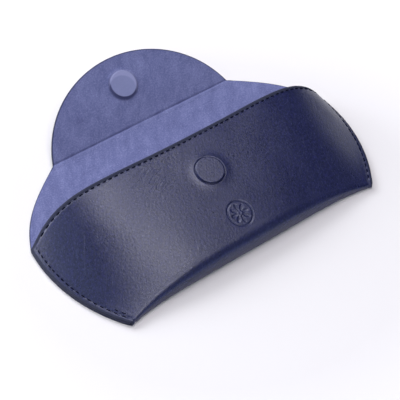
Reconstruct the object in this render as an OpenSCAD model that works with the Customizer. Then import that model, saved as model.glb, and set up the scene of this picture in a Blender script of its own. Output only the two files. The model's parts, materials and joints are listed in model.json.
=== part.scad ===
// Soft eyeglasses case: a folded leather pouch with a turned-over flap, held shut by two hidden magnets.
// The back panel lies flat on Z = 0 with its centre at the origin. X runs along the case, +Y towards the flap.
// Pattern coordinates measure Y from the bottom fold; placed() moves them to the case's own frame.

/* [Pouch] */
// Length across the two mouth corners
mouth_length = 175; // [160:1:190]
// Length of the bottom fold between its corners
fold_length = 142; // [130:1:150]
// Distance from the bottom fold to the mouth corners
pouch_height = 61.5; // [57:0.5:66]
// How far each end seam bows outwards
seam_bow = 6.2; // [4:0.1:8]
// Width of the band at each end where the layers are sewn together
seam_band = 2.8; // [2.6:0.1:5]
// Height of the front above the end seams, at the middle of the mouth
mouth_rise = 23; // [16:0.5:24]
// Height of the soft lower ridge above the end seams, at the middle
ridge_rise = 7.5; // [4:0.5:10]
// How far the middle of the bottom fold is drawn in
fold_inset = 3.1; // [1:0.1:4]
// How far the mouth edge bows out between its middle and its corners
mouth_bow = 1.2; // [0:0.1:2]

/* [Back strip and flap] */
// Length of the flat back panel, from the bottom fold to the back fold
back_length = 69; // [67:0.5:74]
// Length of the strip between the back fold and the flap crease
strip_length = 30.5; // [28:0.5:34]
// Width of the flap at its crease
crease_width = 107; // [90:1:120]
// How far the shoulders bow out between the mouth corners and the crease
shoulder_bow = 5.8; // [3:0.1:7]
// Half width of the ellipse that the flap follows
flap_radius_x = 56.3; // [55:0.1:65]
// Half height of that ellipse
flap_radius_y = 53.9; // [45:0.1:60]
// Rise of the strip above the table, in degrees
strip_tilt = 5; // [0:0.5:20]
// Rise of the open flap above the table, in degrees
flap_tilt = 34; // [5:1:80]

/* [Layers] */
// Thickness of the outer leather
leather = 1; // [0.8:0.1:1.4]
// Thickness of the suede lining
lining = 0.6; // [0.5:0.1:1]
// Gap left at each fold line
fold_gap = 0.3; // [0.2:0.05:0.5]

/* [Magnets] */
// Diameter of each magnet
magnet_diameter = 12; // [8:0.5:13]
// Thickness of each magnet
magnet_thickness = 1.2; // [0.8:0.1:1.3]
// Diameter of the raised disc over each magnet
disc_diameter = 14.4; // [14:0.1:18]
// Height of the raised disc over each magnet
disc_rise = 1.2; // [1:0.1:1.4]
// Distance of the flap magnet beyond the crease
flap_magnet_y = 21.7; // [14:0.1:26]
// Distance of the front magnet from the bottom fold
front_magnet_y = 40.3; // [34:0.1:48]

/* [Stitching] */
// Distance of the stitch line from the edge
stitch_inset = 2.2; // [1.8:0.1:2.5]
// Distance from one stitch to the next
stitch_pitch = 3.2; // [3:0.1:5]
// Length of one stitch
stitch_length = 2.3; // [2:0.1:2.5]
// Thickness of the thread
thread = 0.7; // [0.5:0.05:0.9]

/* [Hidden] */

leather_colour = [0.12, 0.13, 0.25];
suede_colour = [0.42, 0.45, 0.62];
magnet_colour = [0.72, 0.72, 0.74];
thread_colour = [0.08, 0.09, 0.2];

mouth_half = mouth_length / 2;
fold_half = fold_length / 2;
crease_half = crease_width / 2;
sheet = leather + lining;
seam_top = 2 * sheet;

// The end seam is an arc through the fold corner and the mouth corner.
seam_chord = norm([mouth_half - fold_half, pouch_height]);
seam_radius = (seam_chord * seam_chord / 4 + seam_bow * seam_bow) / (2 * seam_bow);
seam_out = [pouch_height, fold_half - mouth_half] / seam_chord;
seam_centre = [(fold_half + mouth_half) / 2, pouch_height / 2] - (seam_radius - seam_bow) * seam_out;
function seam_x(y) = seam_centre[0] + sqrt(seam_radius * seam_radius - pow(y - seam_centre[1], 2));

// Powers that say how soon the ridge and the mouth fall away towards the ends.
ridge_power = 2.2;
mouth_power = 7;
// Power that says how soon the bottom fold comes back out towards its corners.
fold_power = 6;
// Start slope of the front above the ridge, as a share of its mean slope
front_start_slope = 1.43;
// Furthest that a steep stretch is thickened downwards, as a share of the layer
steep_limit = 1.6;
wall_bulge = 0.8;
least_wall = 0.1;

// The front is a grid of columns along X and rows from the bottom fold to the mouth.
columns = 36;
wall_rows = 3;
top_rows = 10;
rows = wall_rows + top_rows;
// Share of the column spacing that is even; the rest crowds towards the ends
even_share = 0.6;
function column_u(i) = let (k = 2 * i / columns - 1) even_share * k + (1 - even_share) * sin(90 * k);

function mix(a, b, t) = a + (b - a) * t;
function fold_y(u) = fold_inset * (1 - pow(abs(u), fold_power));
function front_profile(t) = t * (front_start_slope - (front_start_slope - 1) * t);

// Outer front surface above the ridge: u from end to end, t from the ridge to the mouth.
function front_x(u, t) = u * seam_x(pouch_height * t);
function front_y(u, t) = pouch_height * t + fold_y(u) * (1 - t)
    + mouth_bow * t * 4 * u * u * (1 - u * u);
function front_z(u, t) = let (
    end = seam_x(pouch_height * t),
    s = min(1, abs(u) * end / (end - seam_band)),
    rise = mix(ridge_rise, mouth_rise, front_profile(t))
) seam_top + rise * (1 - pow(s, mix(ridge_power, mouth_power, t)));
function front_point(u, t) = [front_x(u, t), front_y(u, t), front_z(u, t)];

function unit(v) = v / norm(v);
small_step = 0.01;
function front_normal(u, t) = unit(cross(
    front_point(min(1, u + small_step), t) - front_point(max(-1, u - small_step), t),
    front_point(u, min(1, t + small_step)) - front_point(u, max(0, t - small_step))
));

// One grid point of the front, set in by a depth d from the outer surface.
function layer_point(i, j, d) = let (u = column_u(i))
    j <= wall_rows ? wall_point(u, j / wall_rows, d) : top_point(u, (j - wall_rows) / top_rows, d);
function wall_point(u, t, d) = [
    front_x(u, 0),
    fold_y(u) + d - (1 - u * u) * wall_bulge * sin(180 * t),
    mix(sheet, max(front_z(u, 0) - d, sheet + least_wall), t)
];
function top_point(u, t, d) = [
    front_x(u, t),
    front_y(u, t) + d * (1 - t),
    max(seam_top - d, front_z(u, t) - d * min(steep_limit, 1 / front_normal(u, t)[2]))
];

// A closed shell between two depths of the front grid.
module front_layer(d_out, d_in) {
    n = rows + 1;
    m = (columns + 1) * n;
    grid = function(d) [for (i = [0:columns]) for (j = [0:rows]) layer_point(i, j, d)];
    quad = function(a, b, c, d) [[a, b, c], [a, c, d]];
    faces = [
        for (i = [0:columns - 1]) for (j = [0:rows - 1])
            for (f = quad(i * n + j, i * n + j + 1, (i + 1) * n + j + 1, (i + 1) * n + j)) f,
        for (i = [0:columns - 1]) for (j = [0:rows - 1])
            for (f = quad(m + i * n + j, m + (i + 1) * n + j, m + (i + 1) * n + j + 1, m + i * n + j + 1)) f,
        for (i = [0:columns - 1])
            for (f = quad(i * n, (i + 1) * n, m + (i + 1) * n, m + i * n)) f,
        for (i = [0:columns - 1])
            for (f = quad(i * n + rows, m + i * n + rows, m + (i + 1) * n + rows, (i + 1) * n + rows)) f,
        for (j = [0:rows - 1])
            for (f = quad(j, m + j, m + j + 1, j + 1)) f,
        for (j = [0:rows - 1])
            for (f = quad(columns * n + j, columns * n + j + 1, m + columns * n + j + 1, m + columns * n + j)) f
    ];
    polyhedron(points = concat(grid(d_out), grid(d_in)), faces = faces);
}

// The shoulder runs from the mouth corner to the end of the crease.
crease_y = back_length + strip_length;
function shoulder_x(y) = let (t = (y - pouch_height) / (crease_y - pouch_height))
    mix(mouth_half, crease_half, t) + shoulder_bow * sin(180 * t);

outline_steps = 24;
function along(a, b) = [for (i = [0:outline_steps]) mix(a, b, i / outline_steps)];
function mirrored(half) = concat(half, [for (i = [len(half) - 1:-1:0]) [-half[i][0], half[i][1]]]);
function shoulder(y0, y1) = [for (y = along(y0, y1)) [shoulder_x(y), y]];

// Outline of the flat back, with the fold edge moved in by a given amount.
module back_outline(inset) {
    fold = [for (u = along(0, 1)) [fold_half * u, fold_y(u) + inset]];
    seam = [for (y = along(inset, pouch_height)) [seam_x(y), y]];
    end_y = back_length - fold_gap / 2;
    polygon(mirrored(concat(fold, seam, shoulder(pouch_height, end_y), [[0, end_y]])));
}

// Outline of the strip, with the back fold at Y = 0.
module strip_outline() {
    translate([0, -back_length])
        polygon(mirrored(shoulder(back_length + fold_gap / 2, crease_y - fold_gap / 2)));
}

// Outline of the flap, with the crease at Y = 0: an ellipse through both ends of the crease.
flap_centre = flap_radius_y * sqrt(1 - pow(crease_half / flap_radius_x, 2));
flap_start = asin((flap_centre + fold_gap / 2) / flap_radius_y);
module flap_outline() {
    polygon(mirrored([
        for (a = along(flap_start, 90)) [flap_radius_x * cos(a), flap_radius_y * sin(a) - flap_centre]
    ]));
}

module placed() {
    translate([0, -back_length / 2, 0]) children();
}

// The strip and the flap turn on the lining's surface, with Z = 0 there and the layers below it.
module on_strip() {
    placed() translate([0, back_length, sheet]) rotate([strip_tilt, 0, 0]) children();
}
module on_flap() {
    on_strip() translate([0, strip_length, 0]) rotate([flap_tilt - strip_tilt, 0, 0]) children();
}
module layer(z0, z1) {
    translate([0, 0, z0]) linear_extrude(height = z1 - z0) children();
}

// The front disc stands on the outer surface, square to the front at its middle.
front_disc_t = (front_magnet_y - fold_inset) / (pouch_height - fold_inset);
front_disc_slope = 15;
front_disc_point = front_point(0, front_disc_t);
module on_front_disc() {
    placed() translate(front_disc_point) rotate([front_disc_slope, 0, 0]) children();
}
magnet_clearance = 0.15;
disc_sink = leather / 2;
front_magnet_base = magnet_clearance - leather;
cap_fillet = 0.5;

// A raised disc with a rounded rim, from z = -sink up to the rise.
module raised_disc(sink, rise) {
    r = disc_diameter / 2;
    rotate_extrude($fn = 72) {
        translate([0, -sink]) square([r, sink + rise - cap_fillet]);
        translate([0, rise - cap_fillet - thread]) square([r - cap_fillet, cap_fillet + thread]);
        translate([r - cap_fillet, rise - cap_fillet]) circle(cap_fillet, $fn = 24);
    }
}
module disc_pocket(z0, z1) {
    translate([0, 0, z0]) cylinder(d = magnet_diameter + 2 * magnet_clearance, h = z1 - z0, $fn = 72);
}
module magnet(z0) {
    translate([0, 0, z0]) cylinder(d = magnet_diameter, h = magnet_thickness, $fn = 72);
}

module front_panel() {
    color(leather_colour) difference() {
        union() {
            placed() front_layer(0, leather);
            on_front_disc() raised_disc(disc_sink, disc_rise);
        }
        on_front_disc() disc_pocket(-leather - disc_rise, front_magnet_base + magnet_thickness + magnet_clearance);
    }
}

module front_lining() {
    color(suede_colour) placed() front_layer(leather, sheet);
}

module back_panel() {
    color(leather_colour) placed() {
        layer(0, leather) back_outline(0);
        layer(leather, sheet) fold_lip();
    }
}

// The turn of the leather where the back becomes the front.
module fold_lip() {
    outer = [for (u = along(-1, 1)) [fold_half * u, fold_y(u)]];
    inner = [for (u = along(1, -1)) [fold_half * u, fold_y(u) + leather]];
    polygon(concat(outer, inner));
}

module back_lining() {
    color(suede_colour) placed() layer(leather, sheet) back_outline(leather);
}

module back_strip() {
    color(leather_colour) on_strip() layer(-sheet, -lining) strip_outline();
}

module strip_lining() {
    color(suede_colour) on_strip() layer(-lining, 0) strip_outline();
}

module flap() {
    color(leather_colour) on_flap() layer(-sheet, -lining) flap_outline();
}

module flap_lining() {
    color(suede_colour) on_flap() difference() {
        union() {
            layer(-lining, 0) flap_outline();
            translate([0, flap_magnet_y, 0]) raised_disc(lining / 2, disc_rise);
        }
        translate([0, flap_magnet_y, 0])
            disc_pocket(-sheet, magnet_thickness + magnet_clearance - lining);
    }
}

module front_magnet() {
    color(magnet_colour) on_front_disc() magnet(front_magnet_base);
}

module flap_magnet() {
    color(magnet_colour) on_flap() translate([0, flap_magnet_y, 0]) magnet(-lining);
}

// A round thread from a to b.
module strand(a, b, r) {
    d = b - a;
    translate(a)
        rotate([0, acos(d[2] / norm(d)), atan2(d[1], d[0])])
            cylinder(r = r, h = norm(d), $fn = 24);
}

// One stitch lies on the surface from a to b and goes down through the layers at a.
leg_share = 0.8;
module stitch(a, b, down) {
    strand(a, b, thread / 2);
    strand(a + unit(b - a) * thread / 2, a + unit(b - a) * thread / 2 - down, thread / 2 * leg_share);
}

mouth_stitch_t = 1 - stitch_inset / pouch_height;
mouth_stitch_reach = mouth_half - 2 * stitch_inset;
mouth_stitches = floor(2 * mouth_stitch_reach / stitch_pitch);
module mouth_stitching() {
    color(thread_colour) placed()
        for (k = [0:mouth_stitches - 1]) {
            x = (k - (mouth_stitches - 1) / 2) * stitch_pitch;
            u0 = (x - stitch_length / 2) / mouth_half;
            u1 = (x + stitch_length / 2) / mouth_half;
            stitch(front_point(u0, mouth_stitch_t), front_point(u1, mouth_stitch_t),
                   front_normal(u0, mouth_stitch_t) * (sheet - thread / 2));
        }
}

seam_stitches = floor((pouch_height - 2 * stitch_inset) / stitch_pitch);
module seam_stitches_on(side) {
    placed() for (k = [0:seam_stitches - 1]) {
        y = pouch_height / 2 + (k - (seam_stitches - 1) / 2) * stitch_pitch;
        ends = [for (s = [-1, 1]) let (ye = y + s * stitch_length / 2)
            [side * (seam_x(ye) - stitch_inset), ye, seam_top]];
        stitch(ends[0], ends[1], [0, 0, seam_top - leather / 2]);
    }
}
module left_seam_stitching() {
    color(thread_colour) seam_stitches_on(-1);
}
module right_seam_stitching() {
    color(thread_colour) seam_stitches_on(1);
}

front_panel();
back_panel();
back_strip();
flap();
front_lining();
back_lining();
strip_lining();
flap_lining();
front_magnet();
flap_magnet();
mouth_stitching();
left_seam_stitching();
right_seam_stitching();
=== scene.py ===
import json
import math

import bpy
import numpy as np
from mathutils import Matrix, Vector, noise


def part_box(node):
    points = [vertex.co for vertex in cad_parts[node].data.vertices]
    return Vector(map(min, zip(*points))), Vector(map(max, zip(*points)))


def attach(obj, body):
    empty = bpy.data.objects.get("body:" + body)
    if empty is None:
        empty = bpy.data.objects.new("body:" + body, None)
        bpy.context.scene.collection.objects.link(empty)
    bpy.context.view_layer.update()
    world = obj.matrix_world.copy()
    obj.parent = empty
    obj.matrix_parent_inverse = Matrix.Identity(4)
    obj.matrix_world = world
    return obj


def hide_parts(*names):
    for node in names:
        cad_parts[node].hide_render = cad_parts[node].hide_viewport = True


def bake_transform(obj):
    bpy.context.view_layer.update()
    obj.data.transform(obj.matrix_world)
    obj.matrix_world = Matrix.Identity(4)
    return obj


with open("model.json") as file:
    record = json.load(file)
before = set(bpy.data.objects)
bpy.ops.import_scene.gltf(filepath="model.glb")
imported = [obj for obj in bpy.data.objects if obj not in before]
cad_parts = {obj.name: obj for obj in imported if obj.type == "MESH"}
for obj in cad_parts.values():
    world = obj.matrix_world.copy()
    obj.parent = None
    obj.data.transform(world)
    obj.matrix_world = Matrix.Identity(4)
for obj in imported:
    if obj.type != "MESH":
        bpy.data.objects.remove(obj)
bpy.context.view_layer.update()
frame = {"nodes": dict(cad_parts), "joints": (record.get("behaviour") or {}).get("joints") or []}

# Looks of a soft folded-leather spectacles case with a suede lining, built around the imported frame.
# Lengths are in millimetres until a mesh is made. Two coordinates run over the flattened leather:
# x along the case, and l, the length from the bottom fold over the back, the strip and the flap.
# On the wall and the front, which fold up the other way, l is negative.

MM = 1000.0


# -------------------------------- measures taken from the frame

def box_mm(node):
    low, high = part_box(node)
    return np.array(low) * MM, np.array(high) * MM


def middle_mm(node):
    low, high = box_mm(node)
    return (low + high) / 2


def joint_mm(name):
    joint = next(j for j in frame["joints"] if j["name"] == name)
    return np.array(joint["pos_m"]) * MM


front_high = box_mm("front_panel")[1]
back_low = box_mm("back_panel")[0]
magnet_low, magnet_high = box_mm("flap_magnet")
front_magnet = middle_mm("front_magnet")
flap_magnet = middle_mm("flap_magnet")
fold_joint = joint_mm("back_fold")
crease_joint = joint_mm("flap_crease")

START_Y = back_low[1]  # the bottom fold's corners
SHEET = fold_joint[2]  # leather and lining together
SEAM_TOP = 2 * SHEET
BACK_LENGTH = fold_joint[1] - START_Y
STRIP_LENGTH = math.hypot(*(crease_joint - fold_joint)[1:])
STRIP_TILT = math.atan2(crease_joint[2] - fold_joint[2], crease_joint[1] - fold_joint[1])
FLAP_TILT = math.atan2(flap_magnet[2] - crease_joint[2], flap_magnet[1] - crease_joint[1])
FLAP_DISC = math.hypot(*(flap_magnet - crease_joint)[1:])
CREASE = BACK_LENGTH + STRIP_LENGTH
MAGNET_RADIUS = (magnet_high[0] - magnet_low[0]) / 2
FRONT_DISC = front_magnet[1] - START_Y
MOUTH_HALF = front_high[0]
FOLD_HALF = 71.0  # half the bottom fold's length
MOUTH_BOW = 1.2  # swing of the mouth's edge between its middle and corners
HEIGHT = front_high[1] - START_Y - MOUTH_BOW
MOUTH_RISE = front_high[2] - SEAM_TOP
RIDGE_RISE = 7.5  # the ridge above the seams, in its middle
FOLD_INSET = 3.1  # the bottom fold's middle behind its corners
SEAM_BOW = 6.2  # bulge of the sewn ends
CREASE_HALF = 53.5  # half the crease's length
SHOULDER_BOW = 5.8  # bulge of the open sheet's ends, from the mouth to the crease
FLAP_RADIUS_X = 56.3
FLAP_RADIUS_Y = 53.9
LEATHER = 1.0
LINING = SHEET - LEATHER

# Widths of the sewn band where the front starts to rise, at the fold and at the mouth.
FOLD_BAND = 2.8
MOUTH_BAND = 0.8
# How soon the ridge and the mouth fall away towards the ends, the front's slope above the ridge
# and the bulge of the wall below it.
RIDGE_POWER = 2.2
MOUTH_POWER = 7.0
FRONT_SLOPE = 1.43
WALL_BULGE = 0.8

STITCH_INSET = 2.2
STITCH_PITCH = 3.2
STITCH_LENGTH = 2.3

# The raised discs over the magnets, and where the mound round the front one ends.
DISC_RADIUS = MAGNET_RADIUS + 1.2
FRONT_DISC_RADIUS = MAGNET_RADIUS + 0.95
DISC_RISE = 1.2
DISC_REACH = FRONT_DISC_RADIUS + 4.8

# The leather and the lining are each two meshes that meet on a line just before the crease.
SPLIT = CREASE - 2.5


# -------------------------------- small helpers

def mix(a, b, t):
    return a + (b - a) * t


def smooth(t):
    t = np.clip(t, 0, 1)
    return t * t * (3 - 2 * t)


def ridge_line(d, centre, width):
    """1 on a line at d = centre, falling away to both sides of it."""
    return np.exp(-((d - centre) / width) ** 2)


# -------------------------------- outline of the flattened leather

seam_chord = math.hypot(MOUTH_HALF - FOLD_HALF, HEIGHT)
seam_radius = (seam_chord ** 2 / 4 + SEAM_BOW ** 2) / (2 * SEAM_BOW)
seam_centre = (
    np.array([(FOLD_HALF + MOUTH_HALF) / 2, HEIGHT / 2])
    - (seam_radius - SEAM_BOW) * np.array([HEIGHT, FOLD_HALF - MOUTH_HALF]) / seam_chord
)


def seam_x(y):
    """Half width of the pouch at a height y above the bottom fold."""
    y = np.clip(y, 0, HEIGHT)
    return seam_centre[0] + np.sqrt(seam_radius ** 2 - (y - seam_centre[1]) ** 2)


def shoulder_x(l):
    """Half width of the open sheet between the mouth and the crease."""
    t = np.clip((l - HEIGHT) / (CREASE - HEIGHT), 0, 1)
    return mix(MOUTH_HALF, CREASE_HALF, t) + SHOULDER_BOW * np.sin(np.pi * t)


FLAP_CENTRE = CREASE - FLAP_RADIUS_Y * math.sqrt(1 - (CREASE_HALF / FLAP_RADIUS_X) ** 2)


def flap_x(l):
    return FLAP_RADIUS_X * np.sqrt(np.maximum(0, 1 - ((l - FLAP_CENTRE) / FLAP_RADIUS_Y) ** 2))


def sharp_half(l):
    return np.where(l < HEIGHT, seam_x(l), np.where(l < CREASE, shoulder_x(l), flap_x(l)))


NOTCH_ROUND = 0.8


def half_width(l):
    """Half width of the leather at l, with the notch beside the crease a little rounded."""
    near = np.abs(l - CREASE) < 3 * NOTCH_ROUND
    rounded = (sharp_half(l - NOTCH_ROUND) + 2 * sharp_half(l) + sharp_half(l + NOTCH_ROUND)) / 4
    return np.where(near, rounded, sharp_half(l))


# -------------------------------- course of the open back, strip and flap

BEND_HALF = 3.0
CREASE_BEND = 1.2
COURSE_STEP = 0.05
course_l = np.arange(0, CREASE + FLAP_RADIUS_Y, COURSE_STEP)
course_tilt = STRIP_TILT * smooth((course_l - BACK_LENGTH + BEND_HALF) / (2 * BEND_HALF)) + (
    FLAP_TILT - STRIP_TILT
) * smooth((course_l - CREASE + CREASE_BEND) / (2 * CREASE_BEND))
course_y = np.concatenate([[0], np.cumsum(np.cos(course_tilt[:-1]) * COURSE_STEP)])
course_z = SHEET + np.concatenate([[0], np.cumsum(np.sin(course_tilt[:-1]) * COURSE_STEP)])


def course(x, l, depth):
    """Point on the open sheet, and the way up from it: depth 0 is the lining's face."""
    tilt = np.interp(l, course_l, course_tilt)
    up = np.stack([np.zeros_like(tilt), -np.sin(tilt), np.cos(tilt)], -1)
    face = np.stack([x, np.interp(l, course_l, course_y), np.interp(l, course_l, course_z)], -1)
    return face - up * np.asarray(depth)[..., None], up


# -------------------------------- shape of the pouch's outer face

def fold_y(u):
    return FOLD_INSET * (1 - np.abs(u) ** 6)


def front_y(u, t):
    return HEIGHT * t + fold_y(u) * (1 - t) + MOUTH_BOW * t * 4 * u * u * (1 - u * u)


def front_point(u, t):
    """Front's outer face: u from end to end, t from the ridge to the mouth."""
    end = seam_x(HEIGHT * t)
    band = mix(FOLD_BAND, MOUTH_BAND, t)
    inward = end * (1 - np.abs(u))
    s = 1 - (inward ** 2 / (inward + band)) / (end ** 2 / (end + band))
    rise = mix(RIDGE_RISE, MOUTH_RISE, t * (FRONT_SLOPE - (FRONT_SLOPE - 1) * t))
    z = SEAM_TOP + rise * (1 - s ** mix(RIDGE_POWER, MOUTH_POWER, t))
    return np.stack([u * end, front_y(u, t), z], -1)


def front_ut(x, y):
    """The u and t of the front's point above (x, y), found by repeated substitution."""
    t = (y - FOLD_INSET) / (HEIGHT - FOLD_INSET)
    for _ in range(6):
        u = x / seam_x(HEIGHT * np.clip(t, 0, 1))
        t = (y - fold_y(u)) / (HEIGHT - fold_y(u) + MOUTH_BOW * 4 * u * u * (1 - u * u))
    return u, t


def ridge_height(u):
    return front_point(u, np.zeros_like(u))[..., 2]


def ridge_round(u):
    """Reach of the rounding over the ridge."""
    return ridge_height(u) * mix(0.34, 0.36, 1 - u * u)


def bottom_round(u):
    """Reach of the rounding under the bottom fold."""
    return ridge_height(u) * mix(0.46, 0.26, 1 - u * u)


def ridge_t(u):
    return ridge_round(u) / HEIGHT


def bezier(p, corner, q, s):
    """Rounds the corner between p and q."""
    pull = 0.6
    a, b = mix(p, corner, pull), mix(q, corner, pull)
    s = s[..., None]
    return p * (1 - s) ** 3 + 3 * a * s * (1 - s) ** 2 + 3 * b * s * s * (1 - s) + q * s ** 3


# Stations of v around the pouch, between the mouth at 0 and the split at 6.
V_RIDGE, V_WALL, V_FOLD, V_BACK, V_CORNER = 1, 2, 3, 4, 5


def pouch_point(u, v):
    """Outer face of the pouch and strip, from the mouth (v = 0) round the fold to the split (v = 6)."""
    height = ridge_height(u)
    t = 1 - np.clip(v, -0.1, 1) * (1 - ridge_t(u))
    front = front_point(u, t)
    x0 = u * FOLD_HALF
    y0 = fold_y(u)
    ridge = np.stack([x0, y0, height], -1)
    bottom = np.stack([x0, y0, np.zeros_like(u)], -1)
    down = np.array([0, 0, -1.0])
    ridge_start = front_point(u, ridge_t(u))
    wall_start = ridge + down * ridge_round(u)[..., None]
    wall_end = bottom - down * bottom_round(u)[..., None]
    back_y = y0 + bottom_round(u)
    back_start = np.stack([u * seam_x(back_y), back_y, np.zeros_like(u)], -1)
    over_ridge = bezier(ridge_start, ridge, wall_start, np.clip(v - V_RIDGE, 0, 1))
    wall = mix(wall_start, wall_end, np.clip(v - V_WALL, 0, 1)[..., None])
    under = bezier(wall_end, bottom, back_start, np.clip(v - V_FOLD, 0, 1))
    wrap = np.where((v < V_WALL)[..., None], over_ridge, np.where((v < V_FOLD)[..., None], wall, under))
    bulge = (1 - u * u) * WALL_BULGE * np.sin(np.pi * np.clip(wrap[..., 2] / height, 0, 1))
    wrap = wrap - np.stack([np.zeros_like(bulge), bulge, np.zeros_like(bulge)], -1)
    back_l = mix(back_y, HEIGHT, np.clip(v - V_BACK, 0, 1))
    far_l = mix(HEIGHT, SPLIT, np.clip(v - V_CORNER, 0, 1.1))
    l = np.where(v < V_CORNER, back_l, far_l)
    back, _ = course(u * half_width(l), l, np.full_like(l, SHEET))
    return np.where((v < V_RIDGE)[..., None], front, np.where((v < V_BACK)[..., None], wrap, back))


def pouch_surface(u, v):
    """Outer face of the pouch with its outward direction, level along X next to the sewn ends."""
    step = 1e-3
    p = pouch_point(u, v)
    along = pouch_point(np.minimum(u + step, 1), v) - pouch_point(np.maximum(u - step, -1), v)
    down = pouch_point(u, v + step) - pouch_point(u, v - step)
    out = -np.cross(along, down)
    inward = half_width(np.full_like(u, HEIGHT / 2)) * (1 - np.abs(u))
    out[..., 0] *= smooth(inward / 5)
    out /= np.linalg.norm(out, axis=-1, keepdims=True)
    return p, out


def placed(points):
    """From pattern coordinates to the frame, in metres."""
    return (points + np.array([0, START_Y, 0])) / MM


# -------------------------------- relief on the leather and lining

def front_disc_relief(a, b):
    """Raised disc over the front magnet: rounded rim, narrow groove and a mound round its foot."""
    radius, dome, rim, mound, lean = FRONT_DISC_RADIUS, 0.06, 0.5, 0.5, 0.03
    groove_depth, groove_gap, groove_width = 0.4, 0.2, 0.35
    r = np.hypot(a, b)
    top = DISC_RISE + dome * (1 - (r / radius) ** 2)
    edge = DISC_RISE - rim + np.sqrt(np.maximum(0, rim ** 2 - np.maximum(0, r - radius + rim) ** 2))
    groove = groove_depth * ridge_line(r, radius + groove_gap, groove_width)
    outside = mound * np.clip(1 - (r - radius) / (DISC_REACH - radius), 0, 1) ** 2 - groove
    return np.where(r <= radius, np.minimum(top, edge) + lean * a, outside)


def soft_disc_relief(r):
    """Raised disc under the suede: a flat top whose edge runs out softly, without a groove."""
    top = smooth((DISC_RADIUS + 0.1 - r) / 0.5)
    skirt = 1 - smooth((r - DISC_RADIUS - 0.1) / 1.7)
    return DISC_RISE * (0.5 * top + 0.5 * skirt)


def magnet_pocket(r, depth):
    """Hollow in a sheet's inner side that makes room for a magnet."""
    gap, slope = 0.15, 0.2
    return depth * (1 - smooth((r - MAGNET_RADIUS - gap) / slope))


ORNAMENT_L = 15.6
ORNAMENT_RADIUS = 6.6
ORNAMENT_DEPTH = 0.34
ORNAMENT_MARGIN = 0.6
ORNAMENT_GRID = 0.3
PETALS = 8


def ornament_relief(a, b):
    """Blind-stamped plain rosette inside a ring."""
    r = np.hypot(a, b)
    angle = np.arctan2(b, a)
    ring = ridge_line(r, ORNAMENT_RADIUS - 0.5, 0.32)
    sector = 2 * np.pi / PETALS
    off_axis = (angle + sector / 2) % sector - sector / 2
    petal = np.hypot((r * np.cos(off_axis) - 2.9) / 1.75, r * np.sin(off_axis) / 0.75)
    flower = smooth((1.25 - petal) / 0.5)
    heart = ridge_line(r, 0, 0.5)
    return -ORNAMENT_DEPTH * np.clip(ring + flower + heart, 0, 1)


def stitch_dents(along, centre):
    """1 at the holes between stitches, 0 at the middle of each stitch."""
    return 0.5 - 0.5 * np.cos(2 * np.pi * (along - centre) / STITCH_PITCH)


def sewn_relief(edge_distance, along, centre):
    """Groove pulled in by a row of stitches, and the padded border outside it."""
    groove = ridge_line(edge_distance, STITCH_INSET, 0.42) * (0.06 + 0.3 * stitch_dents(along, centre) ** 3)
    border = ridge_line(edge_distance, STITCH_INSET / 2 + 0.1, 0.5)
    swell = ridge_line(edge_distance, STITCH_INSET + 1.4, 1.0)
    return 0.1 * border + 0.04 * swell - groove


def round_off(distance, radius):
    """How far the face has dropped at that distance from a rounded edge."""
    gap = np.clip(radius - distance, 0, radius)
    return radius - np.sqrt(radius ** 2 - gap ** 2)


def undulation(points, size, seed):
    """Gentle unevenness in waves of about that size."""
    offset = Vector((seed * 17.3, seed * 5.1, seed * 9.7))
    return np.array([noise.noise(Vector(p) / size + offset) for p in points.reshape(-1, 3)]).reshape(
        points.shape[:-1]
    )


# -------------------------------- mesh making

class Piece:
    """Points of a closed sheet's face and back, with their pattern coordinates and rim distances."""

    def __init__(self, face, back, quads, pattern, rim):
        self.face = face.reshape(-1, 3)
        self.back = back.reshape(-1, 3)
        self.quads = quads
        self.pattern = pattern.reshape(-1, 3)
        self.rim = rim.reshape(-1)


def grid_quads(rows, columns):
    index = np.arange(rows * columns).reshape(rows, columns)
    return np.stack([index[:-1, :-1], index[:-1, 1:], index[1:, 1:], index[1:, :-1]], -1).reshape(-1, 4)


def border_edges(faces):
    """Directed edges that only one face uses."""
    edges = set()
    for face in faces:
        for a, b in zip(face, face[1:] + face[:1]):
            if (b, a) in edges:
                edges.discard((b, a))
            else:
                edges.add((a, b))
    return sorted(edges)


SMOOTH_ANGLE = math.radians(42)


def link_mesh(name, points, faces, materials, face_material, pattern, rim):
    mesh = bpy.data.meshes.new(name)
    mesh.from_pydata([tuple(p) for p in points], [], faces)
    for material in materials:
        mesh.materials.append(material)
    mesh.polygons.foreach_set("material_index", face_material)
    mesh.polygons.foreach_set("use_smooth", [True] * len(faces))
    stored = mesh.attributes.new("pattern", "FLOAT_VECTOR", "POINT")
    stored.data.foreach_set("vector", np.asarray(pattern, np.float32).ravel())
    stored = mesh.attributes.new("rim", "FLOAT", "POINT")
    stored.data.foreach_set("value", np.asarray(rim, np.float32).ravel())
    mesh.update()
    mesh.set_sharp_from_angle(angle=SMOOTH_ANGLE)
    piece = bpy.data.objects.new(name, mesh)
    bpy.context.scene.collection.objects.link(piece)
    return piece


def sheet_object(name, piece, materials, outward):
    """Closed sheet from its face and back. Materials are for the face, the back and the cut edge."""
    count = len(piece.face)
    faces = [tuple(int(i) for i in dict.fromkeys(q)) for q in piece.quads.tolist()]
    faces = [f for f in faces if len(f) > 2]
    if not outward:
        faces = [f[::-1] for f in faces]
    backs = [tuple(i + count for i in f[::-1]) for f in faces]
    sides = [(b, a, a + count, b + count) for a, b in border_edges([list(f) for f in faces])]
    slots = [0] * len(faces) + [1] * len(backs) + [2] * len(sides)
    points = placed(np.concatenate([piece.face, piece.back]))
    pattern = np.concatenate([piece.pattern, piece.pattern + [0, 0, -1]])
    rim = np.concatenate([piece.rim, piece.rim])
    return link_mesh(name, points, faces + backs + sides, materials, slots, pattern, rim)


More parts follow.
